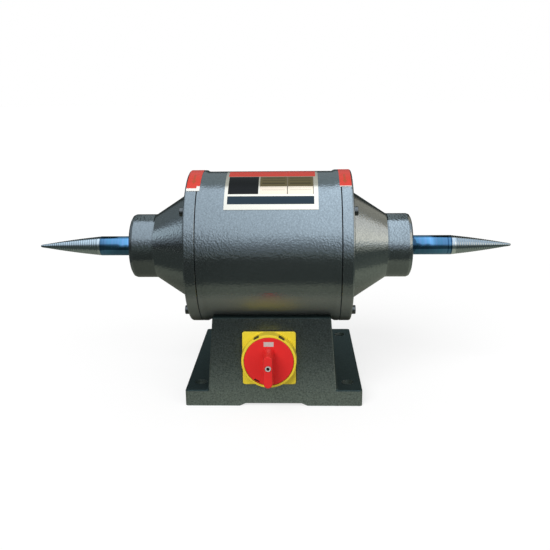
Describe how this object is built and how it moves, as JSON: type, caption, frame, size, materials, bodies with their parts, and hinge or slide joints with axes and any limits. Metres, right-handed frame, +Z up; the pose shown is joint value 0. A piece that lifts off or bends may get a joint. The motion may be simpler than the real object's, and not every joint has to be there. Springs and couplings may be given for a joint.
{
  "type": "dental polishing lathe",
  "caption": "Bench polishing motor with a tapered screw spindle at each end, a hammertone cast pedestal and a rotary cam switch on its front face.",
  "frame": {"origin": "centre of the bench bolt pattern, on the bench plane under the foot pads", "axes": "+Z up, +X to the right seen from the switch side and parallel to the shaft, +Y to the back"},
  "size_m": [0.4308, 0.1988, 0.2043],
  "materials": {
    "hammertone_paint": "glossy grey hammertone enamel on cast metal",
    "blued_steel": "polished blued steel running into ground grey steel",
    "bearing_steel": "ground bearing steel",
    "zinc_steel": "zinc-plated steel",
    "black_oxide_steel": "blackened cap screws, worn to bright steel on the edges",
    "shaft_steel": "turned steel",
    "electrical_steel": "stacked laminations",
    "copper_winding": "varnished enamelled copper",
    "cast_aluminium": "die-cast",
    "cage_brass": "pressed",
    "yellow_plastic": "satin yellow moulding",
    "red_plastic": "satin red moulding",
    "white_plastic": "inlaid index mark",
    "black_plastic": "moulded",
    "black_rubber": "moulded",
    "label_white": "printed vinyl",
    "label_red": "printed vinyl",
    "felt": "pressed felt"
  },
  "bodies": {
    "frame": {"base_casting": "hammertone_paint", "bottom_cover": "zinc_steel", "bottom_cover_screws": "zinc_steel", "saddle_bolts": "zinc_steel", "saddle_washers": "zinc_steel", "wire_grommet": "black_rubber", "cable_gland": "black_plastic", "gland_cap_nut": "black_plastic", "gland_seal": "black_rubber", "gland_locknut": "black_plastic", "run_capacitor": "cast_aluminium", "capacitor_clip": "zinc_steel", "clip_screw": "zinc_steel", "terminal_block": "black_plastic", "terminal_screws": "zinc_steel", "earth_stud": "zinc_steel", "motor_barrel": "hammertone_paint", "stator_core": "electrical_steel", "winding_left": "copper_winding", "winding_right": "copper_winding", "end_shield_left": "hammertone_paint", "end_shield_right": "hammertone_paint", "end_shield_screws_left": "black_oxide_steel", "end_shield_screws_right": "black_oxide_steel", "bearing_outer_left": "bearing_steel", "bearing_outer_right": "bearing_steel", "shaft_seal_left": "felt", "shaft_seal_right": "felt", "wave_spring": "bearing_steel", "rating_plate": "label_white", "arrow_label_left": "label_red", "arrow_label_right": "label_red", "switch_plate": "yellow_plastic", "switch_gasket": "black_rubber", "switch_fixing_screws": "zinc_steel", "switch_housing": "black_plastic", "switch_rear_cover": "black_plastic", "switch_terminals": "zinc_steel"},
    "rotor": {"motor_shaft": "shaft_steel", "rotor_core": "electrical_steel", "rotor_cage": "cast_aluminium", "shaft_circlips": "bearing_steel", "bearing_inner_left": "bearing_steel", "bearing_inner_right": "bearing_steel", "taper_spindle_left": "blued_steel", "taper_spindle_right": "blued_steel", "spindle_grub_screws": "shaft_steel"},
    "ball_cage_left": {"bearing_cage_left": "cage_brass", "bearing_balls_left": "bearing_steel"},
    "ball_cage_right": {"bearing_cage_right": "cage_brass", "bearing_balls_right": "bearing_steel"},
    "knob": {"switch_knob": "red_plastic", "knob_index": "white_plastic", "knob_screw": "zinc_steel", "switch_shaft": "black_plastic"}
  },
  "joints": [
    {"name": "spindle_spin", "type": "hinge", "parent": "frame", "child": "rotor", "pos_m": [-0.0026, -0.032, 0.1355], "axis": [1, 0, 0], "continuous": true},
    {"name": "ball_cage_left_spin", "type": "hinge", "parent": "frame", "child": "ball_cage_left", "pos_m": [-0.1086, -0.032, 0.1355], "axis": [1, 0, 0], "continuous": true},
    {"name": "ball_cage_right_spin", "type": "hinge", "parent": "frame", "child": "ball_cage_right", "pos_m": [0.1034, -0.032, 0.1355], "axis": [1, 0, 0], "continuous": true},
    {"name": "knob_turn", "type": "hinge", "parent": "frame", "child": "knob", "pos_m": [-0.0035, -0.08266, 0.0458], "axis": [0, -0.999, 0.0436], "range_deg": [-30, 30]}
  ],
  "couplings": [
    {"joint": "ball_cage_left_spin", "follows": "spindle_spin", "ratio": 0.3816},
    {"joint": "ball_cage_right_spin", "follows": "spindle_spin", "ratio": 0.3816}
  ]
}
